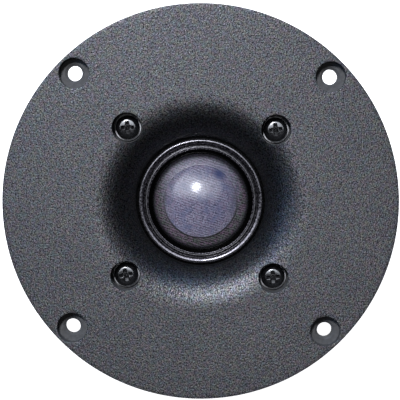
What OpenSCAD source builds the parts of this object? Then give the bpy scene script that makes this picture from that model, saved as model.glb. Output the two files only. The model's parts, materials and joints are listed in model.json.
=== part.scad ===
// Soft-dome tweeter with a flange-mounted waveguide plate, in millimetres.
// +Z is the axis of the dome, towards the listener. The origin is the centre
// of the rear chamber's bottom, so the part stands on its rear.

/* [Face plate] */
// Outer diameter of the flange
plate_d = 132; // [130:1:136]
// Thickness of the flange
plate_t = 6; // [6:0.5:7]
// Height of the flange's front face above the rear chamber's bottom
front_z = 58; // [57:1:64]
// Diameter of the boss that goes through the baffle
boss_d = 94; // [93:1:95]
// Depth of the boss behind the flange
boss_depth = 7; // [7:0.5:8]
// Rounding of the flange's front edge
edge_r = 0.6; // [0.3:0.1:1]

/* [Fixing holes] */
// Pitch circle of the four mounting holes
mount_pcd = 120; // [118:1:121]
// Diameter of a mounting hole
mount_hole_d = 5.2; // [4.4:0.1:5.6]
// Diameter of every counterbore
cbore_d = 10; // [9.6:0.1:10.6]
// Depth of a mounting hole's counterbore
mount_cbore_depth = 3.2; // [2.6:0.1:3.6]
// Pitch circle of the four screws into the motor
screw_pcd = 70; // [69:0.5:72]
// Depth of a screw's counterbore
screw_cbore_depth = 6.5; // [6:0.1:7]

/* [Waveguide] */
// Radius of the mouth, where the wall meets the flat flange
mouth_r = 36.5; // [36:0.1:37.5]
// Radius of the throat
throat_r = 22; // [21.9:0.1:22.5]
// Radius of the wall's curve
wall_r = 16; // [15.8:0.1:16.5]

/* [Diaphragm] */
// Diameter of the voice coil and of the dome's rim
coil_d = 25.4; // [25.2:0.1:25.6]
// Height of the dome above its rim
dome_rise = 5.4; // [4.8:0.1:5.6]
// Thickness of the coated fabric
fabric_t = 0.25; // [0.2:0.05:0.3]
// Height of the dome's rim above the clamped edge of the fabric
rim_rise = 2.3; // [2:0.1:2.5]
// Outer radius of the surround's half-roll
surround_r = 16; // [15.8:0.1:16.1]
// Height of the half-roll above the straight line between its two edges
roll_h = 0.8; // [0.6:0.1:0.9]

/* [Trim ring] */
// Outer radius of the raised part
trim_r = 21.1; // [21:0.1:21.4]
// Height of the ridge above the step that the face plate presses on
trim_h = 1.4; // [1.3:0.1:1.6]

/* [Motor] */
// Radius of the top plate and of the back plate
steel_r = 41; // [40.5:0.5:42]
// Radius of the ferrite magnet
magnet_r = 42.5; // [42:0.5:42.5]
// Thickness of the magnet
magnet_t = 17; // [16:1:17]
// Radius of the pole
pole_r = 11.85; // [11.6:0.05:11.9]
// Radius of the vent through the pole
vent_r = 4; // [3:0.5:5]

/* [Rear chamber] */
// Outer radius of the cup
cup_r = 33; // [32:0.5:33.5]
// Wall thickness of the cup
cup_wall = 2.2; // [1.8:0.1:2.6]
// Number of ribs round the cup
rib_count = 8; // [4:4:12]

/* [Terminals] */
// Distance of each blade from the middle plane
blade_x = 5; // [4.9:0.1:5.2]
// Width of the positive blade
positive_w = 4.8; // [4:0.1:4.8]
// Width of the negative blade
negative_w = 2.8; // [2.8:0.1:4.8]

/* [Hidden] */

$fn = 96;
eps = 0.01;
small_fn = 32;

// Levels from the front face down
flange_z = front_z - plate_t;
boss_z = flange_z - boss_depth;
ring_top_z = boss_z + 2.8;
ring_base_z = boss_z + 1.6;
carrier_top_z = boss_z + 1.3;
top_plate_t = 5;
magnet_top_z = boss_z - top_plate_t;
magnet_bottom_z = magnet_top_z - magnet_t;
back_plate_t = 6;
back_z = magnet_bottom_z - back_plate_t;
cup_top_z = back_z - 0.5;

// Clamped stack round the diaphragm
seat_r = 25;
stack_r = 24.8;
pin_pitch_r = 23.2;
pin_r = 0.75;

// Diaphragm
coil_r = coil_d / 2;
former_t = 0.2;
former_below = 0.7;
rim_z = carrier_top_z + rim_rise;
apex_z = rim_z + dome_rise;
dome_r = (coil_r * coil_r + dome_rise * dome_rise) / (2 * dome_rise);
roll_z = carrier_top_z + 0.15;
roll_gap = 0.05;

// Screws
screw_r = 1.95;
screw_hole_r = 2;
screw_clear_r = 2.2;
holder_screw_r = 0.8;
head_r = 4;
head_h = 3.1;
washer_r = 4.5;
washer_t = 0.8;
screw_seat_z = front_z - screw_cbore_depth;
rear_screw_pitch_r = 37;
rear_screw_r = 1.5;
rear_flange_t = 2.5;

// Motor
gap_outer_r = 13.6;
magnet_bore_r = 22;
cap_t = 0.35;
cap_top_z = boss_z + 0.1;

// Leads and blades
lead_r = 0.3;
lead_z = boss_z + 0.5;
blade_y = -44.4;
blade_t = 0.8;
tab_z = boss_z + 0.8;
solder_y = -41.2;
slot_w = 5.6;
slot_l = 22.8;

// Points on an arc about (x, y), from angle a0 to a1 in n steps.
function arc(x, y, r, a0, a1, n) =
    [for (i = [0:n]) let (a = a0 + (a1 - a0) * i / n) [x + r * cos(a), y + r * sin(a)]];

// Points of the half-roll's section, t inside its outer skin, from outside in.
// It rises towards the rim, where the crease is.
function roll_points(t, n) =
    let (mid = (surround_r + coil_r + roll_gap) / 2, half = (surround_r - coil_r - roll_gap) / 2)
    [for (i = [0:n])
        let (a = 180 * i / n)
        [mid + (half - t) * cos(a),
         roll_z + (rim_z - roll_z) * i / n + (roll_h - t) * sin(a)]];

module turned(points) {
    rotate_extrude()
        polygon(points);
}

// A flat ring between two heights with small chamfers on its outer edges.
module ring(r_out, r_in, z0, z1, c = 0.2) {
    turned([
        [r_in, z0], [r_out - c, z0], [r_out, z0 + c],
        [r_out, z1 - c], [r_out - c, z1], [r_in, z1]
    ]);
}

// Copies of a child on the four diagonals at radius r.
module on_diagonals(r) {
    for (a = [45:90:315])
        rotate([0, 0, a])
            translate([r, 0, 0])
                children();
}

// A hole or rod between two heights.
module bar(r, z0, z1, fn = 48) {
    translate([0, 0, z0])
        cylinder(r = r, h = z1 - z0, $fn = fn);
}

// Cross recess with its floor at z0 and its mouth at z1.
module cross_recess(z0, z1, span, width) {
    for (a = [0, 90])
        rotate([0, 0, a])
            translate([-span / 2, -width / 2, z0])
                cube([span, width, z1 - z0]);
}

// Pan-head screw: the head stands on z = 0 and the shank hangs below it.
module pan_screw(r_head, h_head, r_shank, length, span, width) {
    difference() {
        union() {
            turned(concat(
                [[0, 0], [r_head, 0]],
                arc(r_head - 1.1, h_head - 1.1, 1.1, 0, 90, 8),
                [[0, h_head]]
            ));
            bar(r_shank, -length, eps);
        }
        cross_recess(h_head - 1.8, h_head + eps, span, width);
    }
}

module face_plate() {
    plate_r = plate_d / 2;
    wall_z = front_z - wall_r;
    throat_a = 90 + asin((mouth_r - throat_r) / wall_r);
    color([0.32, 0.32, 0.34])
        difference() {
            turned(concat(
                [[throat_r, ring_top_z]],
                arc(mouth_r, wall_z, wall_r, throat_a, 90, 20),
                arc(plate_r - edge_r, front_z - edge_r, edge_r, 90, 0, 6),
                [[plate_r, flange_z + 0.3], [plate_r - 0.3, flange_z], [boss_d / 2, flange_z],
                 [boss_d / 2, boss_z + 0.5], [boss_d / 2 - 0.5, boss_z],
                 [seat_r, boss_z], [seat_r, ring_top_z]]
            ));
            on_diagonals(mount_pcd / 2) {
                bar(mount_hole_d / 2, flange_z - 1, front_z + 1);
                bar(cbore_d / 2, front_z - mount_cbore_depth, front_z + 1);
            }
            on_diagonals(screw_pcd / 2) {
                bar(screw_clear_r, boss_z - 1, front_z + 1);
                bar(cbore_d / 2, screw_seat_z, front_z + 1);
            }
            for (s = [-1, 1])
                translate([s * blade_x - slot_w / 2, blade_y - 1.6, boss_z - 1])
                    cube([slot_w, slot_l, 2.5]);
            translate([0, blade_y, 0])
                bar(holder_screw_r + 0.05, boss_z - 1, boss_z + 4);
        }
}

module mounting_gasket() {
    gasket_t = 0.8;
    gasket_r = mount_pcd / 2 - 4;
    color([0.12, 0.12, 0.12])
        ring(gasket_r, boss_d / 2 + 1.5, flange_z - gasket_t, flange_z, 0.1);
}

module face_plate_screws() {
    color([0.05, 0.05, 0.05])
        on_diagonals(screw_pcd / 2)
            translate([0, 0, screw_seat_z + washer_t])
                pan_screw(head_r, head_h, screw_r, 12, 4.8, 1.1);
}

module screw_washers() {
    color([0.5, 0.5, 0.52])
        on_diagonals(screw_pcd / 2)
            difference() {
                bar(washer_r, screw_seat_z, screw_seat_z + washer_t);
                bar(screw_clear_r - 0.05, screw_seat_z - 1, screw_seat_z + 2);
            }
}

// A ridge, rounder on its inner side, then a groove, a small bead and a lip over the surround.
module trim_ring() {
    outer_r = 0.7;
    inner_r = 1.4;
    ridge_x = trim_r - outer_r;
    ridge_z = ring_top_z + trim_h;
    bead_z = ridge_z - 0.75;
    lip_z = ridge_z - 0.95;
    opening_r = 16.3;
    color([0.03, 0.03, 0.04])
        difference() {
            turned(concat(
                [[opening_r, ring_base_z], [stack_r, ring_base_z], [stack_r, ring_top_z],
                 [trim_r, ring_top_z]],
                arc(ridge_x, ridge_z - outer_r, outer_r, 0, 90, 6),
                arc(ridge_x, ridge_z - inner_r, inner_r, 90, 140, 6),
                [[19.25, bead_z - 0.2], [18.75, bead_z - 0.1]],
                arc(18.4, bead_z, 0.27, 0, 180, 8),
                [[18, lip_z]],
                arc(17.75, lip_z, 0.18, 0, 160, 4),
                [[opening_r + 0.1, ring_top_z - 0.25]]
            ));
            for (s = [-1, 1])
                translate([s * pin_pitch_r, 0, 0])
                    bar(pin_r + 0.05, boss_z, front_z, small_fn);
        }
}

module surround() {
    steps = 24;
    inner = roll_points(fabric_t, steps);
    color([0.3, 0.28, 0.33])
        turned(concat(
            [[18.5, carrier_top_z], [18.5, ring_base_z], [surround_r, ring_base_z]],
            roll_points(0, steps),
            [for (i = [steps:-1:0]) inner[i]],
            [[surround_r - fabric_t, carrier_top_z]]
        ));
}

module dome() {
    centre_z = apex_z - dome_r;
    color([0.45, 0.43, 0.52])
        difference() {
            translate([0, 0, centre_z])
                sphere(r = dome_r, $fn = 128);
            translate([0, 0, centre_z])
                sphere(r = dome_r - fabric_t, $fn = 128);
            translate([0, 0, rim_z - 50])
                cube([100, 100, 100], center = true);
        }
}

module voice_coil_former() {
    color([0.75, 0.76, 0.78])
        difference() {
            bar(coil_r, magnet_top_z - former_below, rim_z, 96);
            bar(coil_r - former_t, back_z, front_z, 96);
        }
}

module voice_coil_winding() {
    color([0.72, 0.42, 0.2])
        difference() {
            bar(coil_r + 0.5, magnet_top_z + 1, magnet_top_z + 4, 96);
            bar(coil_r, magnet_top_z, front_z, 96);
        }
}

module diaphragm_carrier() {
    color([0.1, 0.1, 0.1])
        difference() {
            ring(stack_r, 16, boss_z, carrier_top_z, 0.1);
            for (s = [-1, 1]) {
                translate([s * blade_x - 0.6, -seat_r - 1, boss_z - 1])
                    cube([1.2, 12, 1.95]);
                translate([s * pin_pitch_r, 0, 0])
                    bar(pin_r + 0.05, boss_z - 1, front_z, small_fn);
            }
        }
}

module locating_pins() {
    color([0.7, 0.7, 0.72])
        for (s = [-1, 1])
            translate([s * pin_pitch_r, 0, 0])
                bar(pin_r, boss_z - 2.5, ring_top_z - 0.2, small_fn);
}

module top_plate() {
    color([0.62, 0.63, 0.65])
        difference() {
            ring(steel_r, gap_outer_r, magnet_top_z, boss_z, 0.4);
            on_diagonals(screw_pcd / 2)
                bar(screw_hole_r, magnet_top_z - 1, boss_z + 1);
            for (s = [-1, 1])
                translate([s * pin_pitch_r, 0, 0])
                    bar(pin_r + 0.05, boss_z - 2.6, boss_z + 1, small_fn);
        }
}

module magnet() {
    color([0.2, 0.2, 0.21])
        ring(magnet_r, magnet_bore_r, magnet_bottom_z, magnet_top_z, 1);
}

module pole_yoke() {
    color([0.62, 0.63, 0.65])
        difference() {
            turned([
                [vent_r, back_z], [steel_r - 0.8, back_z], [steel_r, back_z + 0.8],
                [steel_r, magnet_bottom_z - 0.4], [steel_r - 0.4, magnet_bottom_z],
                [pole_r + 2, magnet_bottom_z], [pole_r, magnet_bottom_z + 2],
                [pole_r, boss_z - 0.2], [vent_r, boss_z - 0.2]
            ]);
            on_diagonals(rear_screw_pitch_r)
                bar(rear_screw_r + 0.05, back_z - 1, back_z + 5.5);
        }
}

module copper_cap() {
    color([0.78, 0.46, 0.28])
        turned([
            [5, boss_z - 0.2], [pole_r, boss_z - 0.2], [pole_r, magnet_top_z - 2],
            [pole_r + cap_t, magnet_top_z - 2], [pole_r + cap_t, cap_top_z], [5, cap_top_z]
        ]);
}

module pole_damping_pad() {
    color([0.3, 0.3, 0.3])
        ring(10.5, vent_r + 0.5, cap_top_z, cap_top_z + 2, 0.3);
}

module vent_plug() {
    color([0.35, 0.35, 0.36])
        bar(vent_r - 0.05, boss_z - 9, boss_z - 1);
}

module rear_chamber() {
    floor_r = 2;
    color([0.1, 0.1, 0.11])
        difference() {
            union() {
                turned(concat(
                    [[0, 0]],
                    arc(cup_r - floor_r, floor_r, floor_r, -90, 0, 8),
                    [[cup_r, cup_top_z - rear_flange_t], [steel_r - 0.9, cup_top_z - rear_flange_t],
                     [steel_r - 0.5, cup_top_z - rear_flange_t + 0.4], [steel_r - 0.5, cup_top_z],
                     [cup_r - cup_wall, cup_top_z]],
                    [[cup_r - cup_wall, cup_wall], [0, cup_wall]]
                ));
                for (i = [0:rib_count - 1])
                    rotate([0, 0, 360 * (i + 0.5) / rib_count])
                        translate([cup_r - 0.5, 0.75, 0])
                            rotate([90, 0, 0])
                                linear_extrude(height = 1.5)
                                    polygon([[0, 3], [6, cup_top_z - 1], [0, cup_top_z - 1]]);
            }
            on_diagonals(rear_screw_pitch_r)
                bar(rear_screw_r + 0.2, 0, cup_top_z + 1);
        }
}

module rear_chamber_gasket() {
    color([0.15, 0.15, 0.15])
        difference() {
            ring(40, 31.5, cup_top_z, back_z, 0.05);
            on_diagonals(rear_screw_pitch_r)
                bar(rear_screw_r + 0.2, 0, front_z);
        }
}

module rear_chamber_screws() {
    color([0.6, 0.6, 0.62])
        on_diagonals(rear_screw_pitch_r)
            translate([0, 0, cup_top_z - rear_flange_t])
                mirror([0, 0, 1])
                    pan_screw(2.8, 2.2, rear_screw_r, 8, 3, 0.8);
}

module rear_chamber_felt() {
    felt_t = 6;
    color([0.4, 0.4, 0.38])
        bar(cup_r - cup_wall - 0.5, cup_wall, cup_wall + felt_t, 96);
}

module terminal_holder() {
    color([0.08, 0.08, 0.08])
        difference() {
            union() {
                translate([-9.5, blade_y - 1.5, boss_z - 3])
                    cube([19, 3, 3]);
                for (s = [-1, 1])
                    translate([s * 5.9 - 3.6, blade_y + 0.9, boss_z - 13])
                        cube([7.2, 0.6, 12]);
            }
            blade_slot(-1, negative_w);
            blade_slot(1, positive_w);
            translate([0, blade_y, 0])
                bar(0.95, boss_z - 4, boss_z + 1);
        }
}

// Slot through the holder that a blade of width w fits.
module blade_slot(side, w) {
    translate([side * blade_x - w / 2 - 0.05, blade_y - blade_t / 2 - 0.05, boss_z - 4])
        cube([w + 0.1, blade_t + 0.1, 5]);
}

module terminal_holder_screw() {
    color([0.7, 0.7, 0.72])
        translate([0, blade_y, boss_z - 3])
            mirror([0, 0, 1])
                pan_screw(1.45, 1.9, holder_screw_r, 6.5, 1.7, 0.5);
}

// Blade with a chamfered tip and an eye, bent inwards at its top to a solder tab.
module blade(side, w) {
    tip = boss_z - 12;
    color([0.85, 0.78, 0.5])
        translate([side * blade_x, blade_y + blade_t / 2, 0]) {
            rotate([90, 0, 0])
                linear_extrude(height = blade_t)
                    difference() {
                        polygon([
                            [-w / 2, tab_z + 0.4], [-w / 2, tip + 0.8], [-w / 2 + 0.6, tip],
                            [w / 2 - 0.6, tip], [w / 2, tip + 0.8], [w / 2, tab_z + 0.4]
                        ]);
                        translate([0, tip + 2.6])
                            circle(r = 0.75, $fn = small_fn);
                    }
            translate([-w / 2, -eps, tab_z])
                cube([w, 3.4, 0.4]);
        }
}

module terminal_positive() {
    blade(1, positive_w);
}

module terminal_negative() {
    blade(-1, negative_w);
}

// Round wire of radius lead_r along points that lie in a level plane.
module wire(points) {
    sides = 10;
    last = len(points) - 1;
    rings = [for (i = [0:last])
        let (d = points[min(i + 1, last)] - points[max(i - 1, 0)],
             across = [d[1], -d[0], 0] / norm(d))
        for (j = [0:sides - 1])
            let (a = 360 * j / sides)
            points[i] + lead_r * (cos(a) * across + [0, 0, sin(a)])];
    walls = [for (i = [0:last - 1], j = [0:sides - 1])
        let (k = (j + 1) % sides)
        [i * sides + j, (i + 1) * sides + j, (i + 1) * sides + k, i * sides + k]];
    start = [for (j = [0:sides - 1]) j];
    finish = [for (j = [sides - 1:-1:0]) last * sides + j];
    polyhedron(points = rings, faces = concat([start], walls, [finish]));
}

// Lead from the coil's former, with a slack bend, through the carrier to a blade.
module lead(side) {
    color([0.8, 0.55, 0.35])
        wire(concat(
            [for (i = [0:8])
                let (a = 90 * i / 8)
                [side * (1.4 + (blade_x - 1.4) * sin(a)), -13.1 - 1.6 * (1 - cos(a)), lead_z]],
            [[side * blade_x, solder_y, lead_z]]
        ));
}

module lead_positive() {
    lead(1);
}

module lead_negative() {
    lead(-1);
}

module solder_joints() {
    color([0.8, 0.8, 0.82])
        for (s = [-1, 1])
            translate([s * blade_x, solder_y, lead_z - 0.1])
                rotate([90, 0, 0])
                    cylinder(r1 = 0.4, r2 = 0.35, h = 1.4, $fn = small_fn);
}

face_plate();
mounting_gasket();
face_plate_screws();
screw_washers();
trim_ring();
surround();
dome();
voice_coil_former();
voice_coil_winding();
diaphragm_carrier();
locating_pins();
top_plate();
magnet();
pole_yoke();
copper_cap();
pole_damping_pad();
vent_plug();
rear_chamber();
rear_chamber_gasket();
rear_chamber_screws();
rear_chamber_felt();
terminal_holder();
terminal_holder_screw();
terminal_positive();
terminal_negative();
lead_positive();
lead_negative();
solder_joints();
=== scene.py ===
"""Looks of a flange-mounted soft-dome tweeter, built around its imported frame.

Everything is in metres, in the frame's own axes: +Z is the dome's axis and -Y is the
terminals' side. Lengths written as N * MM are millimetres.
"""

import json
import math

import bmesh
import bpy
from mathutils import Matrix, Vector

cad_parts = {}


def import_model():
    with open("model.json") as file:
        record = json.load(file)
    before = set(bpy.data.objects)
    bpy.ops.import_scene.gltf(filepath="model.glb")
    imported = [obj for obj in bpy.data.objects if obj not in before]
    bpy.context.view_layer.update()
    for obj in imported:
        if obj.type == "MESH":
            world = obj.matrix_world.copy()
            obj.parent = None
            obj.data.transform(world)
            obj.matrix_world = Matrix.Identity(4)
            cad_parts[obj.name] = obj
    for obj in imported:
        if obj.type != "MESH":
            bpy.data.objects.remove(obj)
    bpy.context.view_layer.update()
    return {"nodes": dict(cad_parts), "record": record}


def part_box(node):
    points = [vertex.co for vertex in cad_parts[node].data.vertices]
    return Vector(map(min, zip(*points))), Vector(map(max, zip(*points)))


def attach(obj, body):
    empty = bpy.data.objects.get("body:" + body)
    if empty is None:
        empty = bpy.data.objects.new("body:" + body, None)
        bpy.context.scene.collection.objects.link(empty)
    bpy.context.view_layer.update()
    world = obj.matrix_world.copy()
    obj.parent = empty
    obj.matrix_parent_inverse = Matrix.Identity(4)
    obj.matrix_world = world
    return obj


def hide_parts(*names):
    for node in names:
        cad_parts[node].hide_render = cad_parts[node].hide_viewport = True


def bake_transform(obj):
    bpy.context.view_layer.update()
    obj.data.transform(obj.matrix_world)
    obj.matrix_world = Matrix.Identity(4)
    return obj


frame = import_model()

MM = 0.001
nodes = frame["nodes"]

# ---------------------------------------------------------------- places from the frame
plate_low, plate_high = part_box("face_plate")
FRONT = plate_high.z
PLATE_R = (plate_high.x - plate_low.x) / 2
BOSS_Z = plate_low.z
CARRIER_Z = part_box("diaphragm_carrier")[1].z
FLANGE_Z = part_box("mounting_gasket")[1].z
ring_low, ring_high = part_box("trim_ring")
dome_low, dome_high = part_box("dome")
COIL_R = (dome_high.x - dome_low.x) / 2
RIM_Z = dome_low.z
APEX_Z = dome_high.z
washer_low, washer_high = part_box("screw_washers")
SCREW_SEAT = washer_high.z
screw_low, screw_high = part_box("face_plate_screws")
SCREW_TIP = screw_low.z
HEAD_TOP = screw_high.z
hole_mount = next(mount for mount in frame["record"]["mounts"] if mount["name"] == "flange_holes")
MOUNT_PITCH_R = hole_mount["dims"]["pcd_mm"] / 2 * MM

# ---------------------------------------------------------------- sizes that pieces share
WASHER_R = 4.5 * MM
SCREW_PITCH_R = (washer_high.x - WASHER_R) * math.sqrt(2)
BORE_R = 5 * MM
MOUTH_R = 36.5 * MM
RING_FLANGE_Z = ring_low.z + 1.2 * MM
RING_WALL_R = 21.1 * MM
BEAD_R = 18.4 * MM
CREASE_R = COIL_R - 0.3 * MM

# ---------------------------------------------------------------- mesh helpers


def link(name, mesh):
    """A new object in the scene for a mesh."""
    made = bpy.data.objects.new(name, mesh)
    bpy.context.scene.collection.objects.link(made)
    return made


def mesh_from(name, build):
    """A mesh that build(bm) fills, with its normals made to point outwards."""
    bm = bmesh.new()
    build(bm)
    bmesh.ops.remove_doubles(bm, verts=bm.verts, dist=1e-7)
    bmesh.ops.recalc_face_normals(bm, faces=bm.faces)
    mesh = bpy.data.meshes.new(name)
    bm.to_mesh(mesh)
    bm.free()
    return mesh


def smooth(obj, degrees=35):
    """Smooth shading with edges sharper than the given angle kept sharp."""
    obj.data.shade_smooth()
    obj.data.set_sharp_from_angle(angle=math.radians(degrees))
    return obj


def arc(x, y, r, start, end, steps):
    """Points on an arc about (x, y), angles in degrees."""
    return [
        (x + r * math.cos(math.radians(start + (end - start) * i / steps)),
         y + r * math.sin(math.radians(start + (end - start) * i / steps)))
        for i in range(steps + 1)
    ]


def rounded(corners, steps=4):
    """A closed outline from corners (x, y, fillet radius), with each corner rounded."""
    points = []
    count = len(corners)
    for i, (x, y, r) in enumerate(corners):
        here = Vector((x, y))
        if r <= 0:
            points.append((x, y))
            continue
        back = Vector(corners[i - 1][:2]) - here
        ahead = Vector(corners[(i + 1) % count][:2]) - here
        half = back.angle(ahead) / 2
        reach = min(r / math.tan(half), 0.49 * back.length, 0.49 * ahead.length)
        r = reach * math.tan(half)
        centre = here + (back.normalized() + ahead.normalized()).normalized() * r / math.sin(half)
        first = here + back.normalized() * reach - centre
        last = here + ahead.normalized() * reach - centre
        turn = first.angle_signed(last)
        for k in range(steps + 1):
            spoke = Matrix.Rotation(-turn * k / steps, 2) @ first
            points.append(tuple(centre + spoke))
    return points


def revolve(outline, segments, centre):
    """build(bm) for a closed outline of (r, z) points turned about a line parallel to Z."""

    def build(bm):
        rings = []
        for i in range(segments):
            a = 2 * math.pi * i / segments
            c, s = math.cos(a), math.sin(a)
            rings.append([bm.verts.new((centre[0] + r * c, centre[1] + r * s, z)) for r, z in outline])
        for i in range(segments):
            one, two = rings[i], rings[(i + 1) % segments]
            for j in range(len(outline)):
                k = (j + 1) % len(outline)
                if outline[j][0] < 1e-9 and outline[k][0] < 1e-9:
                    continue
                bm.faces.new((one[j], two[j], two[k], one[k]))

    return build


def turned(name, outline, segments, centre=(0.0, 0.0)):
    """An object turned from a closed outline of (r, z) points about a line parallel to Z."""
    return smooth(link(name, mesh_from(name, revolve(outline, segments, centre))))


def cut(obj, cutters):
    """Cuts the cutter objects out of obj one after another, and removes them."""
    for tool in cutters:
        change = obj.modifiers.new("cut", "BOOLEAN")
        change.operation = "DIFFERENCE"
        change.solver = "EXACT"
        change.object = tool
        bpy.context.view_layer.update()
        graph = bpy.context.evaluated_depsgraph_get()
        mesh = bpy.data.meshes.new_from_object(obj.evaluated_get(graph))
        obj.modifiers.clear()
        obj.data = mesh
        bpy.data.objects.remove(tool)
    return obj


def diagonals(radius):
    """The four places on the diagonals at a radius, as (x, y)."""
    return [
        (radius * math.cos(math.radians(a)), radius * math.sin(math.radians(a)))
        for a in (45, 135, 225, 315)
    ]


# ---------------------------------------------------------------- material helpers


def new_material(name):
    """A material and its empty node tree."""
    made = bpy.data.materials.new(name)
    made.use_nodes = True
    made.node_tree.nodes.clear()
    return made, made.node_tree


def add(tree, kind, inputs=None, **settings):
    """A node with its settings, and its inputs set to values or linked to sockets."""
    made = tree.nodes.new(kind)
    for key, value in settings.items():
        setattr(made, key, value)
    for key, value in (inputs or {}).items():
        if isinstance(value, bpy.types.NodeSocket):
            tree.links.new(value, made.inputs[key])
        else:
            made.inputs[key].default_value = value
    return made


def position(tree, scale=(1, 1, 1), turn=(0, 0, 0)):
    """The point on the piece, in metres, turned and scaled."""
    place = add(tree, "ShaderNodeTexCoord")
    return add(
        tree, "ShaderNodeMapping",
        {"Vector": place.outputs["Object"], "Scale": scale, "Rotation": turn},
    ).outputs["Vector"]


def noise_at(tree, where, size, detail=2.0, roughness=0.5):
    """Noise whose features are about size metres across, from 0 to 1."""
    return add(
        tree, "ShaderNodeTexNoise",
        {"Vector": where, "Scale": 1 / size, "Detail": detail, "Roughness": roughness},
    ).outputs["Fac"]


def ramp(tree, value, low, high, to_low, to_high):
    """Maps value from low..high to to_low..to_high and holds it at the ends."""
    return add(
        tree, "ShaderNodeMapRange",
        {"Value": value, "From Min": low, "From Max": high, "To Min": to_low, "To Max": to_high},
    ).outputs["Result"]


def math_of(tree, operation, a, b=0.0):
    """One arithmetic step on values or sockets."""
    return add(tree, "ShaderNodeMath", {0: a, 1: b}, operation=operation).outputs[0]


def mixed(tree, factor, first, second):
    """A colour between two colours."""
    ends = {0: factor, 6: first, 7: second}
    return add(tree, "ShaderNodeMix", ends, data_type="RGBA").outputs[2]


def bumped(tree, height, distance, strength=1.0, under=None):
    """A normal raised by height, over another normal if one is given."""
    inputs = {"Height": height, "Distance": distance, "Strength": strength}
    if under is not None:
        inputs["Normal"] = under
    return add(tree, "ShaderNodeBump", inputs).outputs["Normal"]


def radius_of(tree):
    """The distance from the dome's axis, in metres."""
    parts = add(tree, "ShaderNodeSeparateXYZ", {0: position(tree)})
    flat = add(tree, "ShaderNodeCombineXYZ", {0: parts.outputs[0], 1: parts.outputs[1]})
    return add(tree, "ShaderNodeVectorMath", {0: flat.outputs[0]}, operation="LENGTH").outputs["Value"]


def surface(tree, colour, roughness, normal=None, **constants):
    """The main shader. constants are plain values for its sockets, with _ for spaces."""
    inputs = {"Base Color": colour, "Roughness": roughness}
    for key, value in constants.items():
        inputs[key.replace("_", " ")] = value
    if normal is not None:
        inputs["Normal"] = normal
    shader = add(tree, "ShaderNodeBsdfPrincipled", inputs)
    add(tree, "ShaderNodeOutputMaterial", {"Surface": shader.outputs[0]})


def grey(level, blue=0.0):
    """An opaque grey, with blue added to tint it."""
    return (level, level, level + blue, 1)


def dress(obj, material, body=None):
    """Gives obj its material and, for a new piece, its body."""
    obj.data.materials.clear()
    obj.data.materials.append(material)
    if body is not None:
        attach(obj, body)
    return obj


# ---------------------------------------------------------------- materials


def plate_paint(name, sheen):
    """Black grained powder coat on aluminium: fine grains that catch the light one by one.

    It is metallic throughout, so that it has the coat's satin gloss without a haze. The
    sheen keeps it from turning black where no lamp is mirrored, as when seen from behind.
    """
    made, tree = new_material(name)
    where = position(tree)
    grain = noise_at(tree, where, 0.45 * MM, detail=1.0, roughness=0.7)
    pits = noise_at(tree, position(tree, scale=(1.2, 0.7, 1)), 0.5 * MM, detail=1.0)
    cloud = noise_at(tree, where, 14 * MM, detail=2.0)
    warm_spots = noise_at(tree, position(tree, turn=(1, 0, 1)), 1.5 * MM)
    green_spots = noise_at(tree, position(tree, turn=(0, 1, 2)), 1.5 * MM)
    warmth = ramp(tree, warm_spots, 0.36, 0.64, 0.0, 1.0)
    green = ramp(tree, green_spots, 0.36, 0.64, 0.0, 1.0)
    violet = mixed(tree, warmth, (0.072, 0.072, 0.089, 1), (0.089, 0.074, 0.081, 1))
    mossy = mixed(tree, warmth, (0.069, 0.085, 0.087, 1), (0.085, 0.087, 0.075, 1))
    dark = (0.002, 0.002, 0.003, 1)
    light = mixed(tree, green, violet, mossy)
    colour = mixed(tree, ramp(tree, grain, 0.3, 0.7, 0.0, 1.0), dark, light)
    pitted = ramp(tree, pits, 0.35, 0.65, 0.41, 0.47)
    rough = math_of(tree, "ADD", pitted, ramp(tree, cloud, 0.3, 0.7, -0.02, 0.02))
    normal = bumped(tree, pits, 0.1 * MM)
    surface(tree, colour, rough, normal, Metallic=1.0, Sheen_Weight=sheen, Sheen_Roughness=0.5)
    return made


def bore_paint():
    """The same black coat where it lies smooth and matt, in the counterbores."""
    made, tree = new_material("bore_paint")
    patch = noise_at(tree, position(tree), 1.2 * MM, detail=2.0)
    colour = mixed(tree, ramp(tree, patch, 0.3, 0.7, 0.0, 1.0), grey(0.041), grey(0.063))
    rough = ramp(tree, patch, 0.3, 0.7, 0.55, 0.65)
    surface(tree, colour, rough, bumped(tree, patch, 0.01 * MM, 0.5), Specular_IOR_Level=0.1)
    return made


def distance_from(tree, radial, radius):
    """How far a radius socket is from one radius, in metres."""
    return math_of(tree, "ABSOLUTE", math_of(tree, "SUBTRACT", radial, radius))


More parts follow.
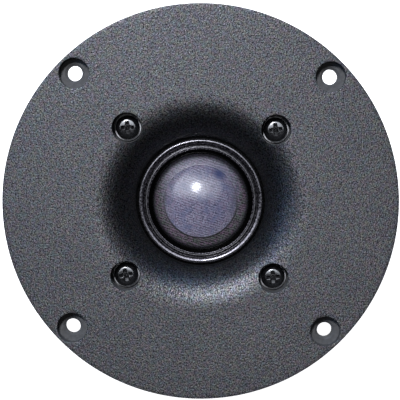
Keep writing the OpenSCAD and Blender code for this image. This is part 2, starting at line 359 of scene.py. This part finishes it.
def trim_gloss():
    """Black-chromed ring with faint tool marks and dust.

    The bead and the ridge's outer part have an even tone. The groove outside the bead, the ring
    inside its lip and the ring outside its wall are painted nearly black as painted shade.
    """
    made, tree = new_material("trim_gloss")
    radial = radius_of(tree)
    along_radius = add(tree, "ShaderNodeCombineXYZ", {0: radial}).outputs[0]
    marks = noise_at(tree, along_radius, 0.3 * MM, detail=1.0)
    dust = noise_at(tree, position(tree), 0.7 * MM, detail=2.0, roughness=0.7)
    tone = ramp(tree, dust, 0.35, 0.65, 0.0, 1.0)
    colour = mixed(tree, tone, (0.035, 0.035, 0.04, 1), (0.25, 0.235, 0.26, 1))
    off_bead = distance_from(tree, radial, BEAD_R)
    bead = ramp(tree, off_bead, 0.14 * MM, 0.26 * MM, 1.0, 0.0)
    colour = mixed(tree, bead, colour, (0.19, 0.185, 0.19, 1))
    crest = ramp(tree, radial, 19.9 * MM, 20.2 * MM, 0.0, 0.75)
    colour = mixed(tree, crest, colour, (0.16, 0.155, 0.165, 1))
    dusty = ramp(tree, dust, 0.3, 0.7, 0.18, 0.4)
    rough = math_of(tree, "ADD", dusty, ramp(tree, bead, 0, 1, 0.0, 0.16))
    # Painted shade: near black inside the lip, outside the wall and in the groove, where shade falls.
    inside = ramp(tree, radial, 17.75 * MM, 17.95 * MM, 1.0, 0.0)
    outside = ramp(tree, radial, RING_WALL_R - 0.05 * MM, RING_WALL_R + 0.05 * MM, 0.0, 1.0)
    off_groove = distance_from(tree, radial, 18.98 * MM)
    groove = ramp(tree, off_groove, 0.22 * MM, 0.42 * MM, 0.85, 0.0)
    ring_painted_shade = math_of(tree, "MAXIMUM", math_of(tree, "MAXIMUM", inside, outside), groove)
    colour = mixed(tree, ring_painted_shade, colour, grey(0.005))
    normal = bumped(tree, marks, 0.003 * MM, 0.3, bumped(tree, dust, 0.01 * MM, 0.3))
    surface(tree, colour, rough, normal, Metallic=1.0)
    return made


def woven(tree):
    """The height of a fine plain weave, from -1 to 1, whose rows stand out from its columns."""
    pitch = 0.82 * MM
    turned_place = position(tree, turn=(0, 0, math.radians(18)))
    parts = add(tree, "ShaderNodeSeparateXYZ", {0: turned_place}).outputs
    columns = math_of(tree, "SINE", math_of(tree, "MULTIPLY", parts[0], 2 * math.pi / pitch))
    rows = math_of(tree, "SINE", math_of(tree, "MULTIPLY", parts[1], 2 * math.pi / pitch))
    knots = math_of(tree, "MULTIPLY", columns, rows)
    mostly_rows = math_of(tree, "MULTIPLY", rows, 0.7)
    return math_of(tree, "ADD", mostly_rows, math_of(tree, "MULTIPLY", knots, 0.3))


def fabric_tones(tree, tone):
    """The dome's purple-grey and the surround's earthy black, both from one thread tone."""
    hue = noise_at(tree, position(tree, turn=(1, 0, 0)), 1.3 * MM, detail=3.0)
    blot = noise_at(tree, position(tree), 3.2 * MM, detail=3.0)
    dome = mixed(tree, tone, (0.028, 0.027, 0.050, 1), (0.190, 0.186, 0.252, 1))
    dome = mixed(tree, ramp(tree, hue, 0.42, 0.66, 0.0, 0.6), dome, (0.125, 0.092, 0.140, 1))
    dome = mixed(tree, ramp(tree, blot, 0.46, 0.7, 0.0, 0.6), dome, (0.052, 0.066, 0.130, 1))
    mossy, plum = (0.066, 0.080, 0.068, 1), (0.112, 0.070, 0.106, 1)
    earthy = mixed(tree, ramp(tree, hue, 0.35, 0.65, 0.0, 1.0), mossy, plum)
    return dome, mixed(tree, tone, (0.001, 0.001, 0.002, 1), earthy)


def coated(tree, radial, along_y):
    """How much of the surround's coat a place has, from 0 to 1.

    Towards -Y it starts sharply at the crease. Towards +Y it comes in slowly and farther
    out, as painted light: there the surround faces the lamps and keeps the dome's lighter look.
    """
    lower = ramp(tree, along_y, -9 * MM, 2 * MM, 1.0, 0.0)
    crisp = ramp(tree, radial, CREASE_R - 0.1 * MM, CREASE_R + 0.1 * MM, 0.0, 1.0)
    painted_light_shift = ramp(tree, along_y, 0, 12 * MM, 0, 2.9 * MM)
    faded = ramp(tree, math_of(tree, "SUBTRACT", radial, painted_light_shift), 8.6 * MM, 13.9 * MM, 0.0, 1.0)
    return add(tree, "ShaderNodeMix", {0: lower, 2: faded, 3: crisp}).outputs[0]


def dome_fabric():
    """Fine coated weave: purple-grey on the dome, darker where the surround is coated more.

    Its outer edge, its clamped rim and the line of the crease are painted nearly black as
    painted shade, and the dome has one bluish scuff.
    """
    made, tree = new_material("dome_fabric")
    where = position(tree)
    radial = radius_of(tree)
    along_y = add(tree, "ShaderNodeSeparateXYZ", {0: where}).outputs[1]
    weave = woven(tree)
    lint = noise_at(tree, where, 0.5 * MM, detail=2.0, roughness=0.7)
    threads = ramp(tree, weave, -1, 1, -0.48, 0.48)
    tone = math_of(tree, "ADD", threads, ramp(tree, lint, 0.36, 0.64, -0.15, 1.15))
    dome, roll = fabric_tones(tree, tone)
    # The coat is partly real, a darker surround, and partly painted light on its +Y side.
    coat = coated(tree, radial, along_y)
    colour = mixed(tree, coat, dome, roll)
    # Painted shadow of the trim ring: the outer edge goes near black, reaching farther in towards +Y.
    ring_shadow_reach = ramp(tree, along_y, 3 * MM, 13 * MM, 0.0, 0.5 * MM)
    edge = ramp(tree, math_of(tree, "ADD", radial, ring_shadow_reach), 14.8 * MM, 15.9 * MM, 0.0, 0.9)
    colour = mixed(tree, edge, colour, (0.003, 0.003, 0.004, 1))
    # Painted shade along the crease: strong towards -Y, faint towards +Y where the lamps light the
    # crease.
    off_crease = distance_from(tree, radial, CREASE_R)
    crease_shade_weight = ramp(tree, along_y, -9 * MM, 8 * MM, 1.0, 0.1)
    line = math_of(tree, "MULTIPLY", ramp(tree, off_crease, 0.14 * MM, 0.36 * MM, 0.95, 0.0), crease_shade_weight)
    colour = mixed(tree, line, colour, (0.004, 0.004, 0.005, 1))
    scuff_place = (6.3 * MM, 9.6 * MM, APEX_Z - 4 * MM)
    off_scuff = add(
        tree, "ShaderNodeVectorMath", {0: where, 1: scuff_place}, operation="DISTANCE",
    ).outputs["Value"]
    frayed = ramp(tree, lint, 0.3, 0.7, -0.35, 0.35)
    scuff = math_of(tree, "ADD", ramp(tree, off_scuff, 0.7 * MM, 3.5 * MM, 0.95, -0.1), frayed)
    colour = mixed(tree, scuff, colour, (0.020, 0.028, 0.080, 1))
    # Painted shade: the fabric from the ring's opening outwards is near black, where the ring shades it.
    shade_under_ring = ramp(tree, radial, 15.95 * MM, 16.2 * MM, 0.0, 1.0)
    colour = mixed(tree, shade_under_ring, colour, grey(0.002))
    linty = ramp(tree, lint, 0.3, 0.7, -0.02, 0.04)
    rough = math_of(tree, "ADD", ramp(tree, coat, 0, 1, 0.23, 0.65), linty)
    normal = bumped(tree, weave, 0.012 * MM, 0.5, bumped(tree, lint, 0.03 * MM, 0.3))
    # The painted shadow also takes the gloss away.
    out_of_ring_shadow = math_of(tree, "SUBTRACT", 1.0, edge)
    gloss = math_of(tree, "MULTIPLY", ramp(tree, coat, 0.0, 1.0, 0.9, 0.1), out_of_ring_shadow)
    surface(tree, colour, rough, normal, Specular_IOR_Level=gloss, Diffuse_Roughness=1.0,
            Sheen_Weight=0.1, Sheen_Roughness=0.5)
    return made


def black_steel():
    """Black-oxide screw: glossy on its crown, with little gloss deep in its recess as painted shade."""
    made, tree = new_material("black_steel")
    where = position(tree)
    stain = noise_at(tree, where, 0.7 * MM, detail=3.0)
    colour = mixed(tree, ramp(tree, stain, 0.35, 0.7, 0, 1), grey(0.002), grey(0.012, 0.001))
    rough = ramp(tree, stain, 0.3, 0.7, 0.19, 0.28)
    # Painted shade: the gloss falls off deep in the recess, so that it reads dark.
    height = add(tree, "ShaderNodeSeparateXYZ", {0: where}).outputs[2]
    gloss = ramp(tree, height, HEAD_TOP - 1.3 * MM, HEAD_TOP - 0.35 * MM, 0.4, 0.95)
    normal = bumped(tree, stain, 0.01 * MM, 0.3)
    surface(tree, colour, rough, normal, Specular_IOR_Level=gloss, IOR=1.75)
    return made


def plain_metal(name, low, high, rough_low, rough_high, grain=0.4 * MM, ringed=False):
    """Bare or plated metal between two tones; ringed metal shows its turning marks."""
    made, tree = new_material(name)
    where = position(tree)
    marked_at = where
    if ringed:
        height = add(tree, "ShaderNodeSeparateXYZ", {0: where}).outputs[2]
        around = {0: radius_of(tree), 1: height}
        marked_at = add(tree, "ShaderNodeCombineXYZ", around).outputs[0]
    marks = noise_at(tree, marked_at, grain, detail=3.0, roughness=0.6)
    stain = noise_at(tree, where, 6 * MM, detail=3.0)
    tone = math_of(tree, "ADD", ramp(tree, marks, 0.3, 0.7, 0, 0.6), ramp(tree, stain, 0.3, 0.7, 0, 0.4))
    colour = mixed(tree, tone, low, high)
    rough = ramp(tree, marks, 0.3, 0.7, rough_low, rough_high)
    surface(tree, colour, rough, bumped(tree, marks, 0.004 * MM, 0.4), Metallic=1.0)
    return made


def plain_stuff(name, low, high, rough_low, rough_high, grain, height, specular=0.5):
    """Plastic, rubber, foam, felt or ferrite between two tones with a grain."""
    made, tree = new_material(name)
    where = position(tree)
    marks = noise_at(tree, where, grain, detail=3.0, roughness=0.6)
    stain = noise_at(tree, where, 9 * MM, detail=2.0)
    tone = math_of(tree, "ADD", ramp(tree, marks, 0.3, 0.7, 0, 0.7), ramp(tree, stain, 0.3, 0.7, 0, 0.3))
    colour = mixed(tree, tone, low, high)
    rough = ramp(tree, marks, 0.3, 0.7, rough_low, rough_high)
    surface(tree, colour, rough, bumped(tree, marks, height, 0.6), Specular_IOR_Level=specular)
    return made


# ---------------------------------------------------------------- pieces


def plate_outline():
    """The face plate's section, from the throat up the waveguide and round to the seat behind.

    The flat front has a few rings between its edges, so that its faces aren't long slivers.
    """
    throat_r, wall_curve_r = 22 * MM, 16 * MM
    start = 90 + math.degrees(math.asin((MOUTH_R - throat_r) / wall_curve_r))
    seat_r, boss_r = 25 * MM, 47 * MM
    edge = 0.3 * MM
    return (
        [(throat_r, RING_FLANGE_Z)]
        + arc(MOUTH_R, FRONT - wall_curve_r, wall_curve_r, start, 90, 56)
        + [(r * MM, FRONT) for r in (37.5, 40, 44, 49, 54.5, 60, 64.5)]
        + arc(PLATE_R - edge, FRONT - edge, edge, 90, 0, 6)
        + rounded([(PLATE_R, FRONT - edge - 0.1 * MM, 0), (PLATE_R, FLANGE_Z, 0.35 * MM),
                   (boss_r, FLANGE_Z, 0.4 * MM), (boss_r, BOSS_Z, 0.5 * MM),
                   (seat_r, BOSS_Z, 0.15 * MM), (seat_r, RING_FLANGE_Z, 0)])
    )


def hole_cutter(name, place, hole_r, floor_z, low_z, flare):
    """A counterbored hole's cutter, with a rounded mouth and a chamfered hole."""
    corner = 0.25 * MM
    outline = (
        [(0, low_z), (hole_r, low_z), (hole_r, floor_z - 0.45 * MM), (hole_r + 0.75 * MM, floor_z)]
        + arc(BORE_R - corner, floor_z + corner, corner, -90, 0, 4)
        + arc(BORE_R + flare, FRONT - flare, flare, 180, 90, 5)
        + [(BORE_R + flare, FRONT + MM), (0, FRONT + MM)]
    )
    return turned(name, outline, 96, place)


def box_cutter(name, low, high):
    """A plain block to cut with."""

    def build(bm):
        made = bmesh.ops.create_cube(bm, size=1)
        size = Vector(high) - Vector(low)
        middle = (Vector(high) + Vector(low)) / 2
        for v in made["verts"]:
            v.co = Vector([v.co[i] * size[i] + middle[i] for i in range(3)])

    return link(name, mesh_from(name, build))


def paint_plate(plate):
    """The plate's paints: most sheen on the flange, less down the wall, matt in the bores.

    The wall's sheen falls off in bands, so that the waveguide stays dark towards the ring.
    """
    dress(plate, plate_paint("plate_paint", 0.2), "chassis")
    plate.data.materials.append(bore_paint())
    bands = [(29 * MM, 0.01), (33 * MM, 0.05), (MOUTH_R, 0.12)]
    for number, (limit, sheen) in enumerate(bands, 1):
        plate.data.materials.append(plate_paint(f"wall_paint_{number}", sheen))
    bore_paint_slot, first_band_slot = 1, 2
    reach, top = BORE_R + 0.1 * MM, FRONT - 0.3 * MM
    bores = [(place, FLANGE_Z + 0.1 * MM) for place in diagonals(MOUNT_PITCH_R)]
    bores += [(place, washer_low.z - 0.1 * MM) for place in diagonals(SCREW_PITCH_R)]
    for face in plate.data.polygons:
        spot = face.center
        off_axis = math.hypot(spot.x, spot.y)
        inside = [number for number, (limit, _) in enumerate(bands) if off_axis < limit]
        if inside:
            face.material_index = first_band_slot + inside[0]
        for (x, y), bottom in bores:
            if math.hypot(spot.x - x, spot.y - y) < reach and bottom < spot.z < top:
                face.material_index = bore_paint_slot


def face_plate():
    """Face plate with its waveguide, its eight counterbored holes and the lead slots."""
    plate = turned("waveguide_plate", plate_outline(), 288)
    bore_floor, lead_x, lead_half_width = FRONT - 3.2 * MM, 5 * MM, 2.8 * MM
    cutters = [
        hole_cutter("mount_tool", place, 2.5 * MM, bore_floor, FLANGE_Z - MM, 0.22 * MM)
        for place in diagonals(MOUNT_PITCH_R)
    ]
    cutters += [
        hole_cutter("screw_tool", place, 2.2 * MM, washer_low.z, BOSS_Z - MM, 0.1 * MM)
        for place in diagonals(SCREW_PITCH_R)
    ]
    for side in (-1, 1):
        cutters.append(box_cutter(
            "slot_tool", (side * lead_x - lead_half_width, -46 * MM, BOSS_Z - MM),
            (side * lead_x + lead_half_width, -25 * MM, BOSS_Z + 1.5 * MM)))
    cut(plate, cutters)
    smooth(plate, 30)
    paint_plate(plate)
    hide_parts("face_plate")
    return plate


def trim_ring():
    """Glossy clamping ring: a ridge rounder on its inner side, a groove, a bead and a lip."""
    low_z, ridge_z = ring_low.z, ring_high.z
    opening_r = 16.3 * MM
    ridge_round, ridge_slope = 0.6 * MM, 1.15 * MM
    ridge_r = RING_WALL_R - ridge_round
    bead_z, lip_z = ridge_z - 0.75 * MM, ridge_z - 0.95 * MM
    outline = (
        [(opening_r, low_z), (ring_high.x, low_z), (ring_high.x, RING_FLANGE_Z)]
        + [(RING_WALL_R, RING_FLANGE_Z)]
        + arc(ridge_r, ridge_z - ridge_round, ridge_round, 0, 90, 10)
        + arc(ridge_r, ridge_z - ridge_slope, ridge_slope, 90, 127, 12)[1:]
        + arc(19.2 * MM, bead_z - 0.1 * MM, 0.16 * MM, 0, -90, 4)
        + arc(18.72 * MM, bead_z - 0.14 * MM, 0.1 * MM, -90, -150, 3)
        + arc(BEAD_R, bead_z, 0.2 * MM, 0, 90, 8)
        + arc(BEAD_R, bead_z + 0.14 * MM, 0.06 * MM, 90, 180, 3)
        + arc(18.02 * MM, lip_z + 0.02 * MM, 0.07 * MM, 0, -180, 5)
        + arc(17.77 * MM, lip_z, 0.08 * MM, 0, 150, 8)
        + [(17.3 * MM, RING_FLANGE_Z - 0.1 * MM), (opening_r + 0.4 * MM, RING_FLANGE_Z - 0.5 * MM)]
        + arc(opening_r + 0.2 * MM, low_z + 0.4 * MM, 0.2 * MM, 60, 180, 5)
    )
    ring = turned("diaphragm_trim", outline, 256)
    dress(ring, trim_gloss(), "chassis")
    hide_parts("trim_ring")


def diaphragm():
    """Dome, crease, sloping half-roll and clamped edge, pressed from one piece of coated fabric."""
    rise = APEX_Z - RIM_Z
    ball_r = (COIL_R ** 2 + rise ** 2) / (2 * rise)
    ball_z = APEX_Z - ball_r
    half_angle = math.degrees(math.asin((CREASE_R - 0.06 * MM) / ball_r))
    steps = 40
    cap = arc(0, ball_z, ball_r, 90, 90 - half_angle, steps)
    crease_z = cap[-1][1] - 0.16 * MM
    start_r, outer_r, clamped_r = CREASE_R + 0.1 * MM, 16.15 * MM, 18.4 * MM
    roll_low, bulge = CARRIER_Z + 0.3 * MM, 0.96
    roll = []
    for i in range(steps + 1):
        t = i / steps
        roll.append((start_r + (outer_r - start_r) * t, crease_z + (roll_low - crease_z) * t ** bulge))
    skin = cap + [(CREASE_R, crease_z)] + roll + [(clamped_r, roll_low)]
    thickness = 0.22 * MM
    under = [(max(0.0, r), z - thickness) for r, z in reversed(skin)]
    piece = turned("diaphragm_skin", skin + under, 256)
    dress(piece, dome_fabric())
    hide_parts("dome", "surround")
    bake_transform(piece)
    return piece


def wing_cutter(name, place, turn, levels):
    """One blade of a cross recess, from its (z, half length, half width) levels, top first."""

    def build(bm):
        rings = []
        for z, half_span, half_width in levels:
            rings.append([
                bm.verts.new((sx * half_span, sy * half_width, z))
                for sx, sy in ((-1, -1), (1, -1), (1, 1), (-1, 1))
            ])
        bm.faces.new(rings[0])
        bm.faces.new(rings[-1])
        for one, two in zip(rings, rings[1:]):
            for i in range(4):
                k = (i + 1) % 4
                bm.faces.new((one[i], one[k], two[k], two[i]))
        bmesh.ops.rotate(bm, verts=bm.verts, cent=(0, 0, 0), matrix=Matrix.Rotation(turn, 3, "Z"))
        bmesh.ops.translate(bm, verts=bm.verts, vec=(place[0], place[1], 0))

    return link(name, mesh_from(name, build))


def face_screws(material):
    """The four pan-head screws with cross recesses, each left at its own angle."""
    shank_r, head_r = 1.95 * MM, 4 * MM
    crown_r = 15 * MM
    crown = [(r, z, 0) for r, z in arc(0, HEAD_TOP - crown_r, crown_r, 81, 90, 5)]
    outline = rounded([
        (0, SCREW_TIP, 0), (1.5 * MM, SCREW_TIP, 0), (shank_r, SCREW_TIP + 0.5 * MM, 0),
        (shank_r, SCREW_SEAT, 0), (head_r, SCREW_SEAT, 0.12 * MM),
        (head_r, SCREW_SEAT + 0.9 * MM, 0.4 * MM), (2.75 * MM, HEAD_TOP - 0.3 * MM, 0.5 * MM),
    ] + crown)
    recess = [
        (HEAD_TOP + 0.2 * MM, 2.7 * MM, 1.2 * MM), (HEAD_TOP - 0.2 * MM, 2.2 * MM, 0.58 * MM),
        (HEAD_TOP - 0.9 * MM, 2.1 * MM, 0.56 * MM), (HEAD_TOP - 1.5 * MM, 1.2 * MM, 0.45 * MM),
    ]
    core = [(0, HEAD_TOP - 2.5 * MM), (0.2 * MM, HEAD_TOP - 2.4 * MM),
            (1.1 * MM, HEAD_TOP - 1.1 * MM), (1.3 * MM, HEAD_TOP + 0.2 * MM),
            (0, HEAD_TOP + 0.2 * MM)]
    for number, (place, turn) in enumerate(zip(diagonals(SCREW_PITCH_R), (8, 3, 12, 5)), 1):
        screw = turned(f"face_plate_screw_{number}", outline, 96, place)
        cutters = [
            wing_cutter("wing_tool", place, math.radians(turn + quarter), recess)
            for quarter in (0, 90)
        ]
        cutters.append(turned("core_tool", core, 32, place))
        cut(screw, cutters)
        smooth(screw, 30)
        dress(screw, material, "chassis")
        if number == 1:
            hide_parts("face_plate_screws")


def washers(material):
    """Washers under the four screws, with rounded rims."""
    low, high = washer_low.z, washer_high.z
    hole_r = 2.15 * MM
    outline = rounded([(hole_r, low, 0.1 * MM), (WASHER_R, low, 0.15 * MM),
                       (WASHER_R, high, 0.1 * MM), (hole_r, high, 0.1 * MM)])
    rings = []
    for number, place in enumerate(diagonals(SCREW_PITCH_R), 1):
        ring = turned(f"screw_washer_{number}", outline, 96, place)
        dress(ring, material, "chassis")
        rings.append(ring)
    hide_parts("screw_washers")
    return rings


# ---------------------------------------------------------------- carried-over nodes


def dress_frame():
    """Materials for the CAD nodes that stay."""
    rubber = plain_stuff("foam_rubber", grey(0.006), grey(0.03), 0.7, 0.9, 0.35 * MM, 0.06 * MM)
    plastic = plain_stuff(
        "moulded_plastic", grey(0.009), grey(0.022, 0.001), 0.38, 0.5, 0.25 * MM, 0.012 * MM)
    felt = plain_stuff("felt", grey(0.05), grey(0.16), 0.85, 0.95, 0.2 * MM, 0.08 * MM, 0.2)
    ferrite = plain_stuff(
        "ferrite", grey(0.02, 0.001), grey(0.055, 0.003), 0.42, 0.6, 0.5 * MM, 0.02 * MM)
    zinc = plain_metal(
        "zinc_plate", (0.20, 0.205, 0.215, 1), (0.34, 0.345, 0.36, 1), 0.26, 0.42, 0.12 * MM, True)
    bolt = plain_metal("zinc_bolt", (0.45, 0.46, 0.48, 1), (0.7, 0.7, 0.72, 1), 0.22, 0.38)
    copper = plain_metal("copper", (0.62, 0.28, 0.14, 1), (0.85, 0.45, 0.28, 1), 0.15, 0.3)
    foil = plain_metal("foil", (0.6, 0.6, 0.62, 1), (0.8, 0.8, 0.82, 1), 0.2, 0.35)
    brass = plain_metal("tinned_brass", (0.55, 0.47, 0.28, 1), (0.82, 0.74, 0.5, 1), 0.2, 0.36)
    solder = plain_metal("solder", (0.5, 0.5, 0.52, 1), (0.75, 0.75, 0.77, 1), 0.15, 0.3)
    looks = {
        "mounting_gasket": rubber, "rear_chamber_gasket": rubber,
        "diaphragm_carrier": plastic, "rear_chamber": plastic, "terminal_holder": plastic,
        "pole_damping_pad": felt, "vent_plug": felt, "rear_chamber_felt": felt,
        "magnet": ferrite, "top_plate": zinc, "pole_yoke": zinc, "locating_pins": bolt,
        "rear_chamber_screws": bolt, "terminal_holder_screw": bolt,
        "copper_cap": copper, "voice_coil_winding": copper, "voice_coil_former": foil,
        "terminal_positive": brass, "terminal_negative": brass,
        "lead_positive": copper, "lead_negative": copper, "solder_joints": solder,
    }
    for name, material in looks.items():
        dress(nodes[name], material)


# ---------------------------------------------------------------- stage, lights, camera


def facing(way):
    """A rotation whose +Z points along way and whose +Y stays as near the scene's as it can."""
    z = Vector(way).normalized()
    x = Vector((0, 1, 0)).cross(z).normalized()
    return Matrix((x, z.cross(x), z)).transposed()


def area_light(name, direction, distance, width, height, power, colour=(1, 1, 1)):
    """A rectangular soft light that looks at the middle of the plate's front from a direction."""
    data = bpy.data.lights.new(name, "AREA")
    data.shape = "RECTANGLE"
    data.size, data.size_y = width, height
    data.energy = power
    data.color = colour
    lamp = bpy.data.objects.new(name, data)
    bpy.context.scene.collection.objects.link(lamp)
    way = Vector(direction).normalized()
    lamp.location = Vector((0, 0, FRONT)) + way * distance
    lamp.rotation_mode = "QUATERNION"
    lamp.rotation_quaternion = facing(way).to_quaternion()
    lamp.visible_camera = False
    return lamp


def from_axis(up, side):
    """A direction tilted from +Z by up degrees towards +Y and side degrees towards +X."""
    return (math.tan(math.radians(side)), math.tan(math.radians(up)), 1)


def light_only(lamp, pieces):
    """Keeps a lamp's light to some pieces."""
    lit = bpy.data.collections.new("lit_by_" + lamp.name)
    for piece in pieces:
        lit.objects.link(piece)
    lamp.light_linking.receiver_collection = lit


def lights(plate, skin, rings):
    """A hard lamp towards +Y, two nested softboxes for the gloss, and weak fills.

    The softboxes leave out the plate and the washers, so that the counterbores keep hard
    shadows, and a second hard lamp lights those pieces instead. The plate also has a wash
    from straight ahead, which shows only in its gloss, and bluish light from +Y and -X. The
    dome has a fill from -Y, which does not show in its gloss.
    """
    lamp_white, blue = (0.97, 0.99, 1.06), (0.93, 0.98, 1.09)
    area_light("key", from_axis(31, -12), 1.1, 0.2, 0.2, 8.0, colour=lamp_white)
    hard_lit = [plate] + rings
    plate_key = area_light("plate_key", from_axis(30, -12), 1.1, 0.2, 0.2, 12.0, colour=lamp_white)
    light_only(plate_key, hard_lit)
    others = [piece for piece in bpy.data.objects if piece.type == "MESH" and piece not in hard_lit]
    light_only(area_light("softbox", from_axis(36, -11), 0.95, 2.6, 1.15, 15.0, colour=blue), others)
    light_only(area_light("inner_box", from_axis(37, -33), 0.95, 2.2, 0.75, 9.0, colour=blue), others)
    fill = area_light("fill", from_axis(-48, -26), 1.0, 0.8, 0.8, 6.8)
    fill.visible_glossy = False
    light_only(fill, [skin])
    wash = area_light("wash", from_axis(-6, 1), 1.0, 0.3, 0.3, 3.95, colour=(0.98, 0.985, 1.04))
    wash.visible_diffuse = False
    light_only(wash, [plate])
    sky = area_light("sky", from_axis(56, 8), 1.0, 0.5, 0.5, 1.6, colour=(0.45, 0.88, 1.65))
    light_only(sky, [plate])
    side_sky = area_light("side_sky", from_axis(16, -46), 1.0, 0.5, 0.5, 1.7, colour=(0.5, 0.9, 1.6))
    light_only(side_sky, [plate])


def floor():
    """A wide pale sheet that the tweeter stands on, lit from within so that it stays even."""

    def build(bm):
        bmesh.ops.create_circle(bm, cap_ends=True, segments=64, radius=3)

    made = link("studio_floor", mesh_from("studio_floor", build))
    material, tree = new_material("studio_floor")
    surface(tree, grey(0.8), 0.9, Emission_Color=grey(1.0), Emission_Strength=0.95)
    made.data.materials.append(material)


def world():
    """Pale surroundings that only the camera sees, so that the lights alone shape the gloss."""
    made = bpy.data.worlds.new("studio")
    made.use_nodes = True
    made.node_tree.nodes["Background"].inputs[0].default_value = (0.92, 0.92, 0.93, 1)
    made.cycles_visibility.diffuse = False
    made.cycles_visibility.glossy = False
    made.cycles_visibility.transmission = False
    bpy.context.scene.world = made


def camera():
    """Straight in front of the plate, a little towards +Y and +X."""
    data = bpy.data.cameras.new("camera")
    data.sensor_width = 36
    data.lens = 108.35
    made = bpy.data.objects.new("camera", data)
    bpy.context.scene.collection.objects.link(made)
    target = Vector((-0.16 * MM, 1.09 * MM, FRONT))
    distance, roll = 0.4, math.radians(0.81)
    way = Vector(from_axis(4.17, 0.3)).normalized()
    made.location = target + way * distance
    made.rotation_mode = "QUATERNION"
    turn = facing(way) @ Matrix.Rotation(roll, 3, "Z")
    made.rotation_quaternion = turn.to_quaternion()
    data.clip_start = 0.01
    bpy.context.scene.camera = made
    bpy.context.scene.view_settings.view_transform = "Standard"


camera()
world()
floor()
dress_frame()
plate = face_plate()
trim_ring()
skin = diaphragm()
face_screws(black_steel())
rings = washers(plain_metal("washer_steel", grey(0.34, 0.01), grey(0.60, 0.01), 0.50, 0.60))
lights(plate, skin, rings)
